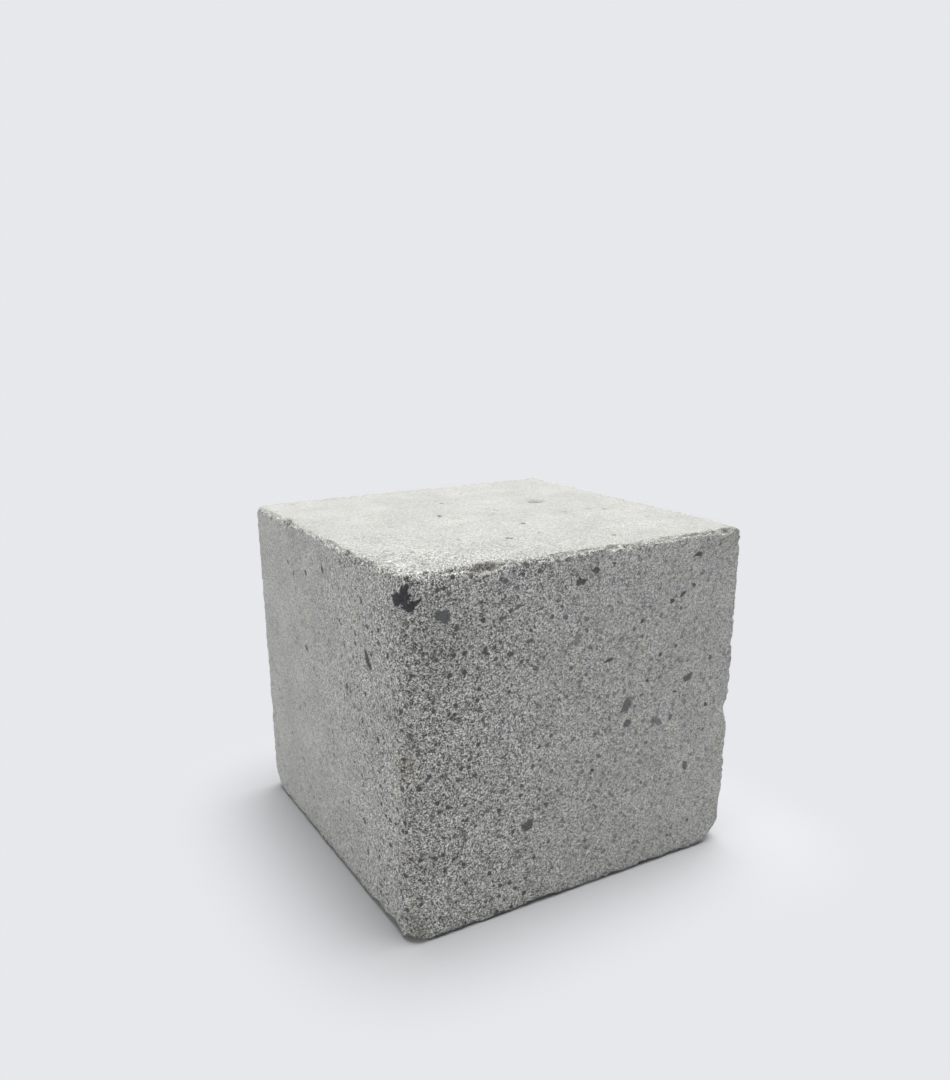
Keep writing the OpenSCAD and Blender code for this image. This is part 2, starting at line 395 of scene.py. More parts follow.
def sand_group():
    """Fine sand: a tone for each sand grain, irregular dark specks, and the relief of both. The
    specks sink as pits in the relief; their darkness is partly dark sand and partly painted shade
    in those pits.
    """
    group, given, result = new_group(
        "Sand",
        [
            ("Place", "NodeSocketVector", None),
            ("Sand Size", "NodeSocketFloat", 0.14 * MM),
            ("Contrast", "NodeSocketFloat", 1.0),
        ],
        [("Tone", "NodeSocketFloat"), ("Speck", "NodeSocketFloat"), ("Height", "NodeSocketFloat")],
    )
    place = scaled_place(group, given.outputs["Place"], given.outputs["Sand Size"])
    warp = add_node(group, "ShaderNodeTexNoise", {"Vector": place, "Scale": 0.9, "Detail": 1.0})
    bent = add_node(
        group, "ShaderNodeVectorMath", {0: warp.outputs["Color"], 1: (1.1, 1.1, 1.1), 2: place},
        operation="MULTIPLY_ADD",
    ).outputs[0]
    cells = add_node(group, "ShaderNodeTexVoronoi", {"Vector": bent, "Scale": 1.0})
    cell_tone = colour_channel(group, cells.outputs["Color"], "Red")
    fine = noise_value(group, place, 1.3, 2.0, 0.8)
    middle = noise_value(group, place, 0.25, 2.0)
    spread = maths(group, "MULTIPLY", maths(group, "SUBTRACT", cell_tone, 0.5), 1.1)
    spread = maths(group, "MULTIPLY_ADD", maths(group, "SUBTRACT", fine, 0.5), 2.6, spread)
    spread = maths(group, "MULTIPLY_ADD", maths(group, "SUBTRACT", middle, 0.5), 0.4, spread)
    tone = maths(group, "MULTIPLY_ADD", spread, given.outputs["Contrast"], 1.0)
    tone = maths(group, "MAXIMUM", tone, 0.12)
    group.links.new(tone, result.inputs["Tone"])

    # Dark specks, sunk below as pits: partly dark sand, partly painted shade in the pits
    small_specks = remap(group, noise_value(group, place, 0.42, 2.0, 0.6, 0.4), 0.595, 0.64)
    large_specks = remap(group, noise_value(group, bent, 0.17, 3.0, 0.65, 0.3), 0.635, 0.68)
    speck = maths(
        group, "MAXIMUM", maths(group, "MULTIPLY", small_specks, 0.7),
        maths(group, "MULTIPLY", large_specks, 0.7),
    )
    # Dots of several sizes, one in each wide cell that the surface happens to cut
    dots = add_node(group, "ShaderNodeTexVoronoi", {"Vector": bent, "Scale": 0.12})
    dot_size = colour_channel(group, dots.outputs["Color"], "Green")
    brink = maths(group, "MULTIPLY_ADD", dot_size, -0.36, dots.outputs["Distance"])
    dot = remap(group, maths(group, "MULTIPLY_ADD", fine, 0.35, brink), 0.14, 0.20, 1.0, 0.0)
    dot_tone = remap(group, colour_channel(group, dots.outputs["Color"], "Blue"), 0, 1, 0.2, 0.8)
    speck = maths(group, "MAXIMUM", speck, maths(group, "MULTIPLY", dot, dot_tone))
    group.links.new(speck, result.inputs["Speck"])
    height = maths(group, "MULTIPLY_ADD", cell_tone, 0.5, fine)
    height = maths(group, "SUBTRACT", height, maths(group, "MULTIPLY", speck, 0.7))
    group.links.new(height, result.inputs["Height"])
    return group


def mottle_group():
    """Slow changes of tone and of warmth over the stone."""
    group, given, result = new_group(
        "Mottle",
        [("Place", "NodeSocketVector", None), ("Patch Size", "NodeSocketFloat", PATCH_SIZE)],
        [("Tone", "NodeSocketFloat"), ("Warmth", "NodeSocketFloat")],
    )
    place = scaled_place(group, given.outputs["Place"], given.outputs["Patch Size"])
    tone = remap(group, noise_value(group, place, 1.0, 4.0), 0.25, 0.75, 0.93, 1.07)
    group.links.new(tone, result.inputs["Tone"])
    warmth = remap(group, noise_value(group, place, 1.7, 3.0), 0.45, 0.75)
    group.links.new(warmth, result.inputs["Warmth"])
    return group


# ---------------------------------------------------------------- materials


def new_material(name):
    """A material's node tree, its Principled BSDF and its object coordinates."""
    material = bpy.data.materials.new(name)
    material.use_nodes = True
    tree = material.node_tree
    shader = tree.nodes["Principled BSDF"]
    place = tree.nodes.new("ShaderNodeTexCoord").outputs["Object"]
    return material, tree, shader, place


def add_bump(tree, shader, height, strength, distance):
    """A bump of this height on the shader."""
    bump = add_node(
        tree, "ShaderNodeBump", {"Height": height, "Strength": strength, "Distance": distance}
    )
    tree.links.new(bump.outputs["Normal"], shader.inputs["Normal"])


def vertex_value(tree, name):
    """A value stored at the mesh's points."""
    return add_node(tree, "ShaderNodeAttribute", attribute_name=name).outputs["Fac"]


def stone_material(settings, sand, mottle):
    """Dry grey stone: sandy, mottled, crumbly at its edges and stained in a few places, with
    painted shade that darkens its pores, hollows and sand pits.
    """
    material, tree, shader, place = new_material("grey_stone")
    edge = vertex_value(tree, "edge_wear")
    contrast = vertex_value(tree, "contrast")
    grain = use_group(
        tree, sand, {"Place": place, "Sand Size": settings.sand_size, "Contrast": contrast}
    )
    patch = use_group(tree, mottle, {"Place": place, "Patch Size": PATCH_SIZE})

    colour = mix_colour(
        tree, maths(tree, "MULTIPLY", edge, 0.5), opaque(settings.colour),
        opaque(settings.edge_colour),
    )
    warm = tuple(c * k for c, k in zip(settings.colour, (1.03, 1.01, 0.93)))
    colour = mix_colour(
        tree, maths(tree, "MULTIPLY", patch.outputs["Warmth"], 0.6), colour, opaque(warm)
    )
    stain = maths(
        tree, "MULTIPLY", vertex_value(tree, "stain"),
        maths(tree, "ADD", grain.outputs["Height"], 0.3), clamp=True,
    )
    colour = mix_colour(tree, stain, colour, opaque(settings.stain_colour))
    tone = maths(tree, "MULTIPLY", grain.outputs["Tone"], patch.outputs["Tone"])
    colour = mix_colour(tree, 1.0, colour, grey(tree, tone), "MULTIPLY")
    # Darkest colour: for the sand's dark specks, and for painted shade in pits, pores and hollows
    dark = opaque(tuple(c * DARK_SPECK_AND_PIT_SHADE for c in settings.colour))
    # The specks' darkness: partly dark sand, partly painted shade in the sand's pits
    speck = maths(tree, "MULTIPLY", grain.outputs["Speck"], maths(tree, "MULTIPLY", contrast, 0.85))
    colour = mix_colour(tree, speck, colour, dark)
    # Painted shade: the pores and hollows, already sunk in the mesh, are also darkened in colour
    pore = maths(tree, "MULTIPLY", vertex_value(tree, "pore"), 0.7)
    colour = mix_colour(tree, pore, colour, dark)
    tree.links.new(colour, shader.inputs["Base Color"])
    roughness = remap(tree, grain.outputs["Tone"], 0.6, 1.4, 0.96, 0.82)
    tree.links.new(roughness, shader.inputs["Roughness"])
    shader.inputs["Specular IOR Level"].default_value = 0.25
    relief = maths(tree, "MULTIPLY", grain.outputs["Height"], contrast)
    add_bump(tree, shader, relief, 0.8, BUMP_STONE)
    return material


def grain_material(name, colour, settings, sand):
    """Matt dark or pale stone; the block's own dust creeps over its rim and into its hollows."""
    material, tree, shader, place = new_material(name)
    fine = use_group(
        tree, sand, {"Place": place, "Sand Size": 0.8 * settings.sand_size, "Contrast": 0.6}
    )
    tone = maths(tree, "MULTIPLY", fine.outputs["Tone"], vertex_value(tree, "lump_tone"))
    base = mix_colour(tree, 1.0, opaque(colour), grey(tree, tone), "MULTIPLY")
    size_place = scaled_place(tree, place, settings.sand_size)
    hollows = remap(tree, noise_value(tree, size_place, 0.6, 3.0, 0.65), 0.58, 0.72)
    creep = maths(
        tree, "MULTIPLY_ADD", noise_value(tree, size_place, 0.9, 2.0, 0.7), 0.9,
        vertex_value(tree, "rim"),
    )
    powder = maths(
        tree, "MAXIMUM",
        maths(tree, "MULTIPLY", hollows, DUST[name]),
        remap(tree, creep, 1.22, 1.42),
    )
    stone = mix_colour(
        tree, 1.0, opaque(settings.colour), grey(tree, fine.outputs["Tone"]), "MULTIPLY"
    )
    tree.links.new(mix_colour(tree, powder, base, stone), shader.inputs["Base Color"])
    roughness = remap(tree, fine.outputs["Tone"], 0.6, 1.4, 0.9, 0.68)
    tree.links.new(roughness, shader.inputs["Roughness"])
    shader.inputs["Specular IOR Level"].default_value = 0.3
    add_bump(tree, shader, fine.outputs["Height"], 0.6, BUMP_GRAIN)
    return material


# ---------------------------------------------------------------- the stone


def grid_line(low, high, settings):
    """Grid places from low to high, closer together beside both ends."""
    band = settings.edge_band
    fine = round(band / settings.fine_step)
    coarse = round((high - low - 2 * band) / settings.coarse_step)
    return np.concatenate([
        np.linspace(low, low + band, fine, endpoint=False),
        np.linspace(low + band, high - band, coarse, endpoint=False),
        np.linspace(high - band, high, fine + 1),
    ])


def box_shell(lines):
    """Points and quads of a box's surface with these grid lines along X, Y and Z."""
    counts = [len(line) for line in lines]
    sides = []
    for axis in range(3):
        for end in (0, -1):
            side = [slice(None)] * 3
            side[axis] = end
            sides.append((axis, end, tuple(side)))
    shown = np.zeros(counts, bool)
    for _, _, side in sides:
        shown[side] = True
    index = np.full(counts, -1)
    index[shown] = np.arange(shown.sum())
    points = np.stack([lines[a][np.nonzero(shown)[a]] for a in range(3)], axis=1)
    quads = []
    for axis, end, side in sides:
        net = index[side]
        quad = np.stack([net[:-1, :-1], net[1:, :-1], net[1:, 1:], net[:-1, 1:]], axis=-1)
        quad = quad.reshape(-1, 4)
        quads.append(quad[:, ::-1] if (end == 0) != (axis == 1) else quad)
    return points, np.concatenate(quads)


def cad_surface():
    """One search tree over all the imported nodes, whose outer faces make the block's surface."""
    points, faces = [], []
    for node in frame["nodes"].values():
        start = len(points)
        points += [v.co for v in node.data.vertices]
        faces += [[start + i for i in p.vertices] for p in node.data.polygons]
    return BVHTree.FromPolygons(points, faces)


ROUND_EDGE_GAP = 2 * MM


def edge_distance(points):
    """How far each point of the box's surface lies from the nearest crumbling edge.

    The front left upright edge is worn round and smooth, so it counts as some way off."""
    to_low, to_high = points - np.array(LOW), np.array(HIGH) - points
    to_sides = np.minimum(to_low, to_high)
    gaps = np.sort(to_sides, axis=1)[:, 1]
    upright = (to_low[:, :2] <= to_high[:, :2]).all(axis=1) & (to_sides.argmax(axis=1) == 2)
    return np.where(upright, np.minimum(to_sides[:, 2], gaps + ROUND_EDGE_GAP), gaps)


CORE_INSET = 7 * MM
CAST_LEAD = 1 * MM
CAST_REACH = 9 * MM


def lay_on_cad(points, surface):
    """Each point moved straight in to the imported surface, and the direction that it moved in."""
    core = np.clip(points, np.array(LOW) + CORE_INSET, np.array(HIGH) - CORE_INSET)
    inward = core - points
    inward /= np.linalg.norm(inward, axis=1, keepdims=True)
    laid = points.copy()
    for i, (point, way) in enumerate(zip(points, inward)):
        way = Vector(way)
        hit = surface.ray_cast(Vector(point) - way * CAST_LEAD, way, CAST_REACH)[0]
        if hit is not None:
            laid[i] = hit
    return laid, inward


PORE_SPACING = 2.1
PORE_LUCK = 0.6
PORE_SMALLEST = 0.16
PORE_SPREAD = 1.4
LUCK_SHIFT = 7.3


def pore_at(place):
    """How deep in a pore a place in millimetres lies, from 0 to 1."""
    distances, centres = noise.voronoi(place / PORE_SPACING)
    luck = noise.cell(centres[0] * LUCK_SHIFT)
    if luck < PORE_LUCK:
        return 0.0
    reach = (PORE_SMALLEST + PORE_SPREAD * (luck - PORE_LUCK) ** 1.5) / PORE_SPACING
    return max(0.0, 1.0 - (distances[0] / reach) ** 2)


CRUMBLE_REACH = 0.7
CRUMBLE_SHIFT = Vector((9, 4, 2))


def unit_range(value):
    """A value held between 0 and 1."""
    return min(1.0, max(0.0, value))


def roughness_depths(laid, to_edge, settings):
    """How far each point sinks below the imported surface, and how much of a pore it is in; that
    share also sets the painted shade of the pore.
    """
    depths = np.zeros(len(laid))
    pores = np.zeros(len(laid))
    for i, (point, gap) in enumerate(zip(laid / MM, to_edge / MM)):
        place = Vector(point)
        near = math.exp(-((gap / CRUMBLE_REACH) ** 2))
        crumb = 0.5 + 0.5 * noise.fractal(place * 1.6, 0.5, 2.3, 3)
        sway = 0.5 + 0.5 * noise.noise(place * 0.16)
        crumble = 0.35 + noise.fractal(place * 1.3 + CRUMBLE_SHIFT, 0.6, 2.1, 3)
        pores[i] = pore_at(place) * (1 - 0.5 * near)
        depths[i] = (
            settings.crumb_depth * unit_range(crumb)
            + settings.sway_depth * unit_range(sway)
            + settings.edge_crumble * near * unit_range(crumble)
            + settings.pore_depth * pores[i]
        )
    return depths, pores


# Hollows, as shares of the block's width, depth and height, with a radius and a depth; the stone is
# sunk there and darkened with painted shade
HOLLOWS = [
    ((0.012, 0.002, 0.515), 0.8 * MM, 0.5 * MM),
    ((0.205, 0.000, 0.998), 0.9 * MM, 0.6 * MM),
    ((0.235, 0.006, 1.000), 0.9 * MM, 0.5 * MM),
    ((0.410, 0.000, 1.000), 0.5 * MM, 0.35 * MM),
    ((0.935, 0.000, 1.000), 0.6 * MM, 0.45 * MM),
    ((0.950, 0.000, 1.000), 0.6 * MM, 0.45 * MM),
    ((0.000, 0.735, 0.990), 0.9 * MM, 0.45 * MM),
    ((0.000, 0.300, 0.995), 0.6 * MM, 0.30 * MM),
    ((0.745, 0.605, 1.000), 1.2 * MM, 0.30 * MM),
    ((1.000, 0.450, 0.990), 0.8 * MM, 0.40 * MM),
    ((0.600, 1.000, 0.990), 0.9 * MM, 0.40 * MM),
]


def hollow_shares(laid):
    """How deep in a hollow each point lies, from 0 to 1, and how far it sinks there; the share also
    sets the hollow's painted shade.
    """
    shares, depths = np.zeros(len(laid)), np.zeros(len(laid))
    for where, radius, depth in HOLLOWS:
        middle = np.array(LOW) + np.array(where) * np.array(SIZE)
        share = np.exp(-((np.linalg.norm(laid - middle, axis=1) / radius) ** 4))
        shares = np.maximum(shares, share)
        depths = np.maximum(depths, depth * share)
    return shares, depths


# Stained places, as shares of the block's width, depth and height, with a radius and a strength
STAINS = [
    # The stain at the chip on the front edge is brown, and is strengthened to paint the chip's
    # shade as well
    ((0.00, 0.00, 0.51), 1.6 * MM, 0.9),
    ((0.01, 0.00, 0.46), 1.3 * MM, 0.4),
    ((0.02, 0.00, 0.04), 2.0 * MM, 0.5),
    ((0.98, 0.00, 0.99), 2.5 * MM, 0.3),
    ((0.215, 0.00, 1.00), 1.6 * MM, 0.6),
    ((0.08, 0.00, 0.83), 6.0 * MM, 0.3),
    ((0.60, 1.00, 0.30), 4.0 * MM, 0.3),
    ((1.00, 0.70, 0.85), 3.0 * MM, 0.3),
]


FRONT_EDGE_STAIN = 0.4
FRONT_EDGE_STAIN_REACH = 1.9 * MM
STAIN_FADE = 4 * MM


def stain_strengths(laid):
    """How stained each point is: along the worn front upright edge, and in the stained places."""
    from_upright = np.hypot(laid[:, 0] - LOW[0], laid[:, 1] - LOW[1])
    strengths = FRONT_EDGE_STAIN * np.exp(-((from_upright / FRONT_EDGE_STAIN_REACH) ** 2))
    strengths *= np.clip((HIGH[2] - laid[:, 2]) / STAIN_FADE, 0, 1)
    for shares, radius, strength in STAINS:
        middle = np.array(LOW) + np.array(shares) * np.array(SIZE)
        far = np.linalg.norm(laid - middle, axis=1) / radius
        strengths = np.maximum(strengths, strength * np.exp(-(far**3)))
    return strengths


CALM_START = 2 * MM
CALM_WIDTH = 20 * MM
FRONT_EDGE_REACH = 22 * MM
LEFT_STRETCH = 1.6
FAR_START = 35 * MM
FAR_WIDTH = 30 * MM
TOP_SKIN = 0.3 * MM


def sand_contrast(laid, wear, settings):
    """How strongly the sand shows: most beside the worn edges, least on the smooth top."""
    from_upright = np.hypot(laid[:, 0] - LOW[0], LEFT_STRETCH * (laid[:, 1] - LOW[1]))
    beside = np.exp(-((from_upright / FRONT_EDGE_REACH) ** 2))
    away = np.clip((from_upright - FAR_START) / FAR_WIDTH, 0, 1)
    contrast = settings.coarseness * (1 - settings.far_calm * away)
    contrast += settings.front_coarseness * beside
    on_top = laid[:, 2] > HIGH[2] - TOP_SKIN
    calm = settings.top_calm * np.clip((from_upright - CALM_START) / CALM_WIDTH, 0.5, 1)
    contrast = contrast * (1 - on_top * calm)
    return contrast + settings.edge_coarseness * wear


def mesh_object(name, points, faces, material, attributes):
    """A smooth-shaded piece that rides on the block's body, with its float attributes."""
    mesh = bpy.data.meshes.new(name)
    mesh.from_pydata([tuple(p) for p in points], [], [tuple(f) for f in faces])
    mesh.update()
    for label, values in attributes.items():
        layer = mesh.attributes.new(label, "FLOAT", "POINT")
        layer.data.foreach_set("value", np.asarray(values, np.float32))
    mesh.polygons.foreach_set("use_smooth", [True] * len(mesh.polygons))
    mesh.materials.append(material)
    piece = bpy.data.objects.new(name, mesh)
    bpy.context.scene.collection.objects.link(piece)
    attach(piece, BODY)
    return piece


WEAR_REACH = 0.9 * MM
UPRIGHT_MARGIN = 2 * MM
UPRIGHT_WEAR = 0.35


def make_stone(settings):
    """The stone's rough mesh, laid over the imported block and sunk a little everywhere."""
    lines = [grid_line(LOW[a], HIGH[a], settings) for a in range(3)]
    points, quads = box_shell(lines)
    laid, inward = lay_on_cad(points, cad_surface())
    to_edge = edge_distance(points)
    depths, pores = roughness_depths(laid, to_edge, settings)
    hollows, hollow_depths = hollow_shares(laid)
    depths += hollow_depths
    # The hollows join the pores in the mask that the stone material darkens with painted shade
    pores = np.maximum(pores, hollows)
    wear = np.exp(-((to_edge / WEAR_REACH) ** 2))
    along_upright = (laid[:, 2] > LOW[2] + UPRIGHT_MARGIN) & (
        laid[:, 2] < HIGH[2] - UPRIGHT_MARGIN
    )
    wear *= np.where(along_upright, UPRIGHT_WEAR, 1.0)
    material = stone_material(settings, sand_group(), mottle_group())
    piece = mesh_object(
        "block_stone", laid + inward * depths[:, None], quads, material,
        {
            "edge_wear": wear,
            "contrast": sand_contrast(laid, wear, settings),
            "pore": pores,
            "stain": stain_strengths(laid),
        },
    )
    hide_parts(STONE_NODE)


# ---------------------------------------------------------------- the grains

MERGE_GAP = 0.002 * MM


def separate_solids(node):
    """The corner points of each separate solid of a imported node."""
    bm = bmesh.new()
    bm.from_mesh(frame["nodes"][node].data)
    bmesh.ops.remove_doubles(bm, verts=bm.verts, dist=MERGE_GAP)
    left = set(bm.verts)
    solids = []
    while left:
        group, front = [], [left.pop()]
        while front:
            vert = front.pop()
            group.append(vert)
            for edge in vert.link_edges:
                other = edge.other_vert(vert)
                if other in left:
                    left.remove(other)
                    front.append(other)
        solids.append(np.array([v.co for v in group]))
    bm.free()
    solids.sort(key=lambda points: tuple(points.mean(axis=0)))
    return solids


def stone_surface():
    """A search tree over the finished stone."""
    mesh = bpy.data.objects["block_stone"].data
    return BVHTree.FromPolygons(
        [v.co for v in mesh.vertices], [tuple(p.vertices) for p in mesh.polygons]
    )


def ball(rings):
    """Points and faces of a unit ball."""
    bm = bmesh.new()
    bmesh.ops.create_icosphere(bm, subdivisions=rings, radius=1.0)
    points = np.array([v.co for v in bm.verts])
    faces = np.array([[v.index for v in f.verts] for f in bm.faces])
    bm.free()
    return points, faces


# Outlines of most of the large grains on their faces: points across and up, in millimetres
OUTLINES = {
    "corner_grain_upper": [
        (-1.15, 0.1), (-0.8, 0.55), (-0.1, 0.75), (0.2, 0.85), (0.35, 1.5), (0.65, 1.75),
        (1.1, 1.6), (0.95, 1.0), (1.2, 0.35), (0.95, -0.2), (0.5, -0.6), (-0.1, -0.7),
        (-0.65, -1.05), (-0.95, -0.8), (-0.9, -0.35),
    ],
    "corner_grain_lower": [
        (-1.25, 0.2), (-1.0, 0.35), (-0.5, 0.3), (0, 0.45), (0.4, 0.55), (0.95, 0.65),
        (1.0, 0.4), (0.55, 0.2), (0.35, -0.15), (0.1, -0.55), (-0.4, -0.7), (-0.85, -0.6),
        (-1.1, -0.15),
    ],
    "round_grain": [
        (-0.9, 0.35), (-0.75, 0.8), (-0.1, 0.85), (0.75, 0.8), (1.1, 0.45), (1.25, -0.05),
        (1.15, -0.6), (0.7, -0.85), (0.25, -0.7), (-0.25, -0.4), (-0.8, -0.1),
    ],
    "rim_grain_left": [
        (-0.6, 0.1), (-0.35, 0.35), (-0.2, 0.7), (0.05, 0.4), (0.4, 0.3), (0.75, 0.25),
        (0.8, -0.1), (0.6, -0.45), (0.1, -0.3), (-0.3, -0.5), (-0.65, -0.4),
    ],
    "rim_grain_right": [
        (-0.75, 0), (-0.4, 0.15), (-0.05, 0.4), (0.3, 0.25), (0.6, 0.05), (0.45, -0.3),
        (0.15, -0.5), (-0.1, -0.6), (-0.3, -0.3), (-0.55, -0.2),
    ],
    "rim_sliver": [
        (-0.85, -0.3), (-0.4, 0), (-0.05, 0.15), (0.4, 0.15), (0.65, 0.02), (0.5, -0.2),
        (0.6, -0.35), (0.1, -0.42), (-0.3, -0.3),
    ],
    "slanted_sliver": [
        (-0.45, -0.15), (-0.1, 0.1), (0.1, 0.3), (0.35, 0.3), (0.7, 0.35), (0.4, 0.12),
        (0.2, -0.15), (-0.1, -0.35), (-0.45, -0.42),
    ],
    "tall_grain": [
        (-0.95, -0.85), (-0.85, -0.6), (-0.6, -0.1), (-0.4, 0.35), (-0.2, 0.65), (0.25, 0.9),
        (0.6, 1.0), (0.75, 0.6), (1.0, 0.3), (0.8, 0), (0.4, -0.7), (0.1, -1.15), (-0.4, -1.35),
    ],
    "tall_grain_foot": [
        (-0.45, 0.4), (0.45, 0.4), (0.48, -0.3), (0, -0.65), (-0.4, -0.45),
    ],
    "flat_grain": [
        (-0.8, 0), (-0.3, 0.05), (0, 0.2), (0.35, 0.35), (0.75, 0.25), (0.8, 0.05), (0.4, -0.02),
        (0, -0.1), (-0.4, -0.15),
    ],
    "leaning_grain": [
        (-0.85, 0.3), (-0.55, 0.35), (-0.3, 0.25), (0.1, 0.5), (0.5, 0.6), (0.8, 0.35),
        (0.7, -0.05), (0.3, -0.35), (-0.2, -0.5), (-0.6, -0.45), (-0.85, -0.1),
    ],
    "low_right_grain": [
        (0, 0.75), (0.35, 0.5), (0.5, 0.1), (0.6, -0.3), (0.4, -0.6), (0.1, -0.75),
        (-0.1, -0.4), (-0.25, 0.1), (-0.1, 0.45),
    ],
    "low_left_grain": [
        (-1.15, 0.3), (-0.8, 0.45), (-0.4, 0.55), (0, 0.75), (0.5, 0.8), (0.85, 0.6), (0.9, 0.1),
        (0.7, -0.5), (0.2, -0.7), (-0.4, -0.65), (-0.8, -0.4), (-0.95, 0),
    ],
    "shoulder_grain_left": [
        (-0.5, 0), (-0.2, 0.25), (-0.05, 0.65), (0.1, 0.3), (0.3, 0), (0.65, -0.2),
        (0.55, -0.5), (0.1, -0.45), (-0.1, -0.2),
    ],
    "shoulder_grain_right": [
        (-0.55, 0), (-0.4, 0.35), (-0.1, 0.5), (0.05, 0.25), (0.45, 0.2), (0.3, -0.05),
        (0, -0.2), (-0.1, -0.5), (-0.3, -0.2),
    ],
    "pale_grain_lower": [
        (-0.9, 0.2), (-0.5, 0.7), (0.1, 0.75), (0.3, 0.3), (0.9, -0.1), (1.15, -0.5),
        (0.8, -0.8), (0.2, -0.6), (-0.2, -0.3), (-0.8, -0.3),
    ],
    "left_face_grain": [
        (-0.6, 1.15), (-0.1, 0.8), (0.3, 0.35), (0.55, -0.1), (0.95, -0.7), (0.85, -1.15),
        (0.2, -0.95), (-0.3, -0.4), (-0.85, 0.1), (-0.8, 0.7),
    ],
    "top_pale_grain": [
        (-0.5, 0.9), (0.1, 0.7), (0.3, 0.2), (0.8, -0.3), (0.7, -0.9), (0.2, -1.0),
        (-0.2, -0.4), (-0.7, 0),
    ],
}
RANDOM_OUTLINE_POINTS = 9
SHARED_EDGE_GAP = 0.5 * MM
PROBE_HEIGHT = 3 * MM


def grain_seat(corners):
    """Where a packed grain is centred, and the directions across, up and out of its face."""
    middle = (corners.min(axis=0) + corners.max(axis=0)) / 2
    gaps = np.concatenate([middle - np.array(LOW), np.array(HIGH) - middle])
    outs = np.concatenate([-np.eye(3), np.eye(3)])
    out = Vector(outs[gaps < gaps.min() + SHARED_EDGE_GAP].sum(axis=0)).normalized()
    flat = abs(out.z) > 0.7
    across = Vector((1, 0, 0)) if flat else Vector((0, 0, 1)).cross(out)
    return Vector(middle), across, out.cross(across), out


def random_outline(corners, seat, rng):
    """An uneven outline that fits a packed grain's extent on its face."""
    middle, across, up, _ = seat
    spread = corners - np.array(middle)
    flat = np.stack([spread @ np.array(across), spread @ np.array(up)], axis=1)
    _, turned = np.linalg.eigh(np.cov(flat.T))
    half = np.abs(flat @ turned).max(axis=0)
    turns = np.linspace(0, 2 * math.pi, RANDOM_OUTLINE_POINTS, endpoint=False)
    turns += rng.uniform(-0.25, 0.25, RANDOM_OUTLINE_POINTS)
    uneven = rng.uniform(0.65, 1.2, RANDOM_OUTLINE_POINTS)[:, None]
    ring = np.stack([np.cos(turns), np.sin(turns)], axis=1) * half * uneven
    return ring @ turned.T


def lump(outline, seat, unit, surface, settings, rng):
    """A grain of this outline that follows the stone's surface and sits in it, and its rim."""
    middle, across, up, out = seat
    turns = np.arctan2(outline[:, 1], outline[:, 0])
    reaches = settings.growth * np.hypot(outline[:, 0], outline[:, 1])
    depth = settings.seat_depth * 2 * reaches.mean()
    seed = Vector(rng.uniform(-50, 50, 3))
    points, rims = [], []
    for x, y, z in unit:
        turn = math.atan2(y, x)
        share = math.acos(min(1.0, abs(z))) / (math.pi / 2)
        reach = np.interp(turn, turns, reaches, period=2 * math.pi)
        brink = Vector((math.cos(turn), math.sin(turn), 0)) * (reach / MM)
        reach *= 1 + 0.25 * noise.noise(brink * 2 + seed)
        reach += settings.raggedness * noise.fractal(brink * 4.5 + seed, 0.6, 2.2, 3)
        spot = middle + (across * math.cos(turn) + up * math.sin(turn)) * (share * reach)
        start = spot + out * PROBE_HEIGHT
        ground = surface.ray_cast(start, -out, 2 * PROBE_HEIGHT)[0]
        if ground is None:
            ground = surface.find_nearest(spot)[0]
        if z >= 0:
            grit = noise.fractal(ground / MM * 5 + seed, 0.6, 2.2, 2)
            height = settings.proud * (1.05 - share**2 + 0.45 * grit)
        else:
            height = -depth * math.sqrt(max(0.0, 1 - share**2))
        points.append(ground + out * height)
        rims.append(share if z >= 0 else 1.0)
    return np.array(points), rims


def make_grains(node, rings, material, settings, seed):
    """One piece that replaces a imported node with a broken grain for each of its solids."""
    rng = np.random.default_rng(seed)
    unit, ball_faces = ball(rings)
    surface = stone_surface()
    points, faces, tones, rims = [], [], [], []
    for corners in separate_solids(node):
        seat = grain_seat(corners)
        if node in OUTLINES:
            outline = np.array(OUTLINES[node]) * MM
        else:
            outline = random_outline(corners, seat, rng)
        faces.append(ball_faces + len(unit) * len(points))
        lump_points, lump_rims = lump(outline, seat, unit, surface, settings, rng)
        points.append(lump_points)
        rims += lump_rims
        tones += [rng.uniform(*TONES.get(node, COMMON_TONES))] * len(unit)
    piece = mesh_object(
        node + "_stone", np.concatenate(points), np.concatenate(faces), material,
        {"lump_tone": tones, "rim": rims},
    )
    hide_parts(node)


# ---------------------------------------------------------------- the stage


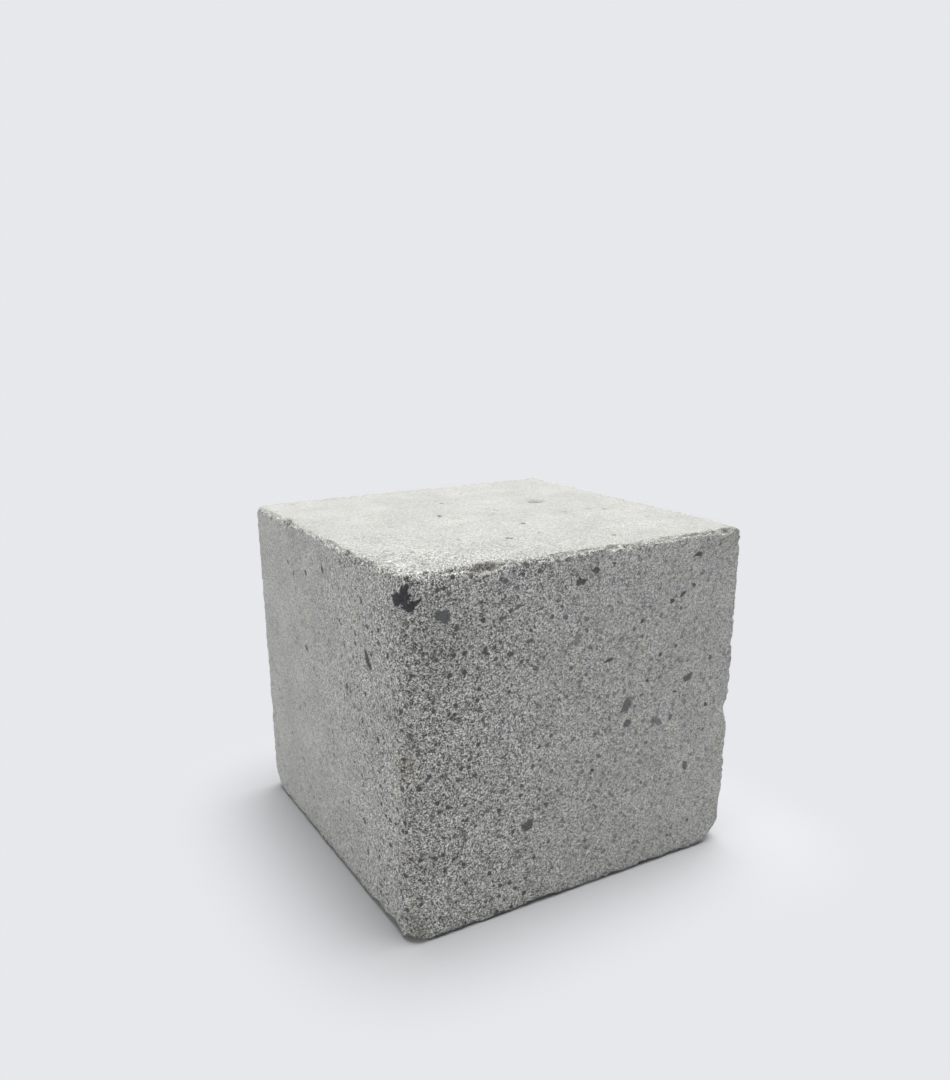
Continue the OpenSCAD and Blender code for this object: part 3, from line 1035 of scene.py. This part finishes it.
def make_floor(settings):
    """A wide pale floor that is lit beside the block and fades to the backdrop's colour.

    It is clear from below, so that the underside of the block can be looked at."""
    bpy.ops.mesh.primitive_plane_add(size=settings.floor_size)
    floor = bpy.context.object
    floor.name = "floor"
    material = bpy.data.materials.new("floor")
    material.use_nodes = True
    tree = material.node_tree
    tree.nodes.clear()
    place = tree.nodes.new("ShaderNodeNewGeometry").outputs["Position"]
    axes = add_node(tree, "ShaderNodeSeparateXYZ", {0: place}).outputs
    squares = []
    for axis in range(2):
        beyond = maths(tree, "SUBTRACT", maths(tree, "ABSOLUTE", axes[axis]), SIZE[axis] / 2)
        beyond = maths(tree, "MAXIMUM", beyond, 0.0)
        squares.append(maths(tree, "MULTIPLY", beyond, beyond))
    distance = maths(tree, "SQRT", maths(tree, "ADD", *squares))
    fade = remap(tree, distance, 0.0, settings.shadow_reach)
    lit = add_node(tree, "ShaderNodeBsdfDiffuse", {"Color": opaque(settings.floor_colour)})
    plain = add_node(tree, "ShaderNodeEmission", {"Color": opaque(settings.backdrop)})
    blend = add_node(
        tree, "ShaderNodeMixShader", {0: fade, 1: lit.outputs[0], 2: plain.outputs[0]}
    )
    below = tree.nodes.new("ShaderNodeNewGeometry").outputs["Backfacing"]
    clear = tree.nodes.new("ShaderNodeBsdfTransparent")
    either = add_node(
        tree, "ShaderNodeMixShader", {0: below, 1: blend.outputs[0], 2: clear.outputs[0]}
    )
    output = tree.nodes.new("ShaderNodeOutputMaterial")
    tree.links.new(either.outputs[0], output.inputs["Surface"])
    floor.data.materials.append(material)


def make_world(settings):
    """Even light from all round, with the backdrop's colour where the camera sees it."""
    world = bpy.data.worlds.new("studio")
    world.use_nodes = True
    tree = world.node_tree
    tree.nodes.clear()
    seen = add_node(tree, "ShaderNodeBackground", {"Color": opaque(settings.backdrop)})
    light = add_node(
        tree, "ShaderNodeBackground",
        {"Color": (1.0, 1.0, 1.0, 1.0), "Strength": settings.sky_strength},
    )
    path = tree.nodes.new("ShaderNodeLightPath")
    blend = add_node(
        tree, "ShaderNodeMixShader",
        {0: path.outputs["Is Camera Ray"], 1: light.outputs[0], 2: seen.outputs[0]},
    )
    output = tree.nodes.new("ShaderNodeOutputWorld")
    tree.links.new(blend.outputs[0], output.inputs["Surface"])
    bpy.context.scene.world = world


def make_lamp(name, strength, width, way):
    """A lamp far away that spans a wide angle, so that its shadows are soft."""
    data = bpy.data.lights.new(name, "SUN")
    data.energy = strength
    data.angle = width
    lamp = bpy.data.objects.new(name, data)
    lamp.rotation_euler = Vector(way).to_track_quat("Z", "Y").to_euler()
    bpy.context.scene.collection.objects.link(lamp)


SENSOR_WIDTH = 36.0
CLIP_START = 0.005


def make_camera(settings):
    """The camera, looking down at the block's front left edge."""
    data = bpy.data.cameras.new("camera")
    data.lens = settings.lens
    data.sensor_width = SENSOR_WIDTH
    data.shift_y = settings.lens_shift
    data.clip_start = CLIP_START
    camera = bpy.data.objects.new("camera", data)
    camera.location = settings.camera_place
    upright = Euler((math.pi / 2 - settings.camera_pitch, 0.0, settings.camera_heading))
    roll = Euler((0.0, 0.0, settings.camera_roll))
    camera.rotation_euler = (upright.to_matrix() @ roll.to_matrix()).to_euler()
    bpy.context.scene.collection.objects.link(camera)
    bpy.context.scene.camera = camera


# ---------------------------------------------------------------- operators


class BLOCK_OT_stage(bpy.types.Operator):
    """Make the floor, the light and the camera"""

    bl_idname = "block.stage"
    bl_label = "Make the stage"

    def execute(self, context):
        settings = context.scene.block_stage
        make_floor(settings)
        make_world(settings)
        make_lamp("wide_lamp", settings.lamp_strength, settings.lamp_width, settings.lamp_way)
        make_lamp("low_lamp", settings.fill_strength, settings.fill_width, settings.fill_way)
        make_camera(settings)
        context.scene.view_settings.view_transform = "Standard"
        return {"FINISHED"}


class BLOCK_OT_stone(bpy.types.Operator):
    """Make the stone itself"""

    bl_idname = "block.stone"
    bl_label = "Make the stone"

    def execute(self, context):
        make_stone(context.scene.block_stone)
        return {"FINISHED"}


class BLOCK_OT_large_grains(bpy.types.Operator):
    """Make the large grains, each a piece of its own"""

    bl_idname = "block.large_grains"
    bl_label = "Make the large grains"

    def execute(self, context):
        stone, grains = context.scene.block_stone, context.scene.block_grains
        sand = bpy.data.node_groups["Sand"]
        dark = grain_material("dark_grain", grains.dark, stone, sand)
        black = grain_material("black_grain", grains.black, stone, sand)
        pale = grain_material("pale_grain", grains.pale, stone, sand)
        for seed, node in enumerate(LARGE_GRAIN_NODES):
            material = dark
            if SLOT_OF_NODE[node] == "pale_grain":
                material = pale
            elif node in BLACKEST_GRAINS:
                material = black
            make_grains(node, grains.large_rings, material, grains, seed)
        return {"FINISHED"}


class BLOCK_OT_small_grains(bpy.types.Operator):
    """Make the small grains, one piece for each face"""

    bl_idname = "block.small_grains"
    bl_label = "Make the small grains"

    def execute(self, context):
        stone, grains = context.scene.block_stone, context.scene.block_grains
        sand = bpy.data.node_groups["Sand"]
        material = grain_material("small_dark_grain", grains.dark, stone, sand)
        for seed, node in enumerate(SMALL_GRAIN_NODES):
            make_grains(node, grains.small_rings, material, grains, FIRST_SMALL_SEED + seed)
        return {"FINISHED"}


OPERATORS = (
    BLOCK_OT_stage,
    BLOCK_OT_stone,
    BLOCK_OT_large_grains,
    BLOCK_OT_small_grains,
)


class BLOCK_PT_panel(bpy.types.Panel):
    """Lists the steps that build the block"""

    bl_idname = "BLOCK_PT_panel"
    bl_label = "Stone block"
    bl_space_type = "VIEW_3D"
    bl_region_type = "UI"
    bl_category = "Stone block"

    def draw(self, context):
        for operator in OPERATORS:
            self.layout.operator(operator.bl_idname)
        for settings in (
            context.scene.block_stone,
            context.scene.block_grains,
            context.scene.block_stage,
        ):
            box = self.layout.box()
            for name in settings.__annotations__:
                box.prop(settings, name)


SETTINGS = {
    "block_stone": StoneSettings,
    "block_grains": GrainSettings,
    "block_stage": StageSettings,
}
CLASSES = (*SETTINGS.values(), *OPERATORS, BLOCK_PT_panel)


def register():
    for cls in CLASSES:
        bpy.utils.register_class(cls)
    for name, cls in SETTINGS.items():
        setattr(bpy.types.Scene, name, PointerProperty(type=cls))


def unregister():
    for name in SETTINGS:
        delattr(bpy.types.Scene, name)
    for cls in reversed(CLASSES):
        bpy.utils.unregister_class(cls)


def main():
    register()
    bpy.ops.block.stage()
    bpy.ops.block.stone()
    bpy.ops.block.large_grains()
    bpy.ops.block.small_grains()


if __name__ == "__main__":
    main()
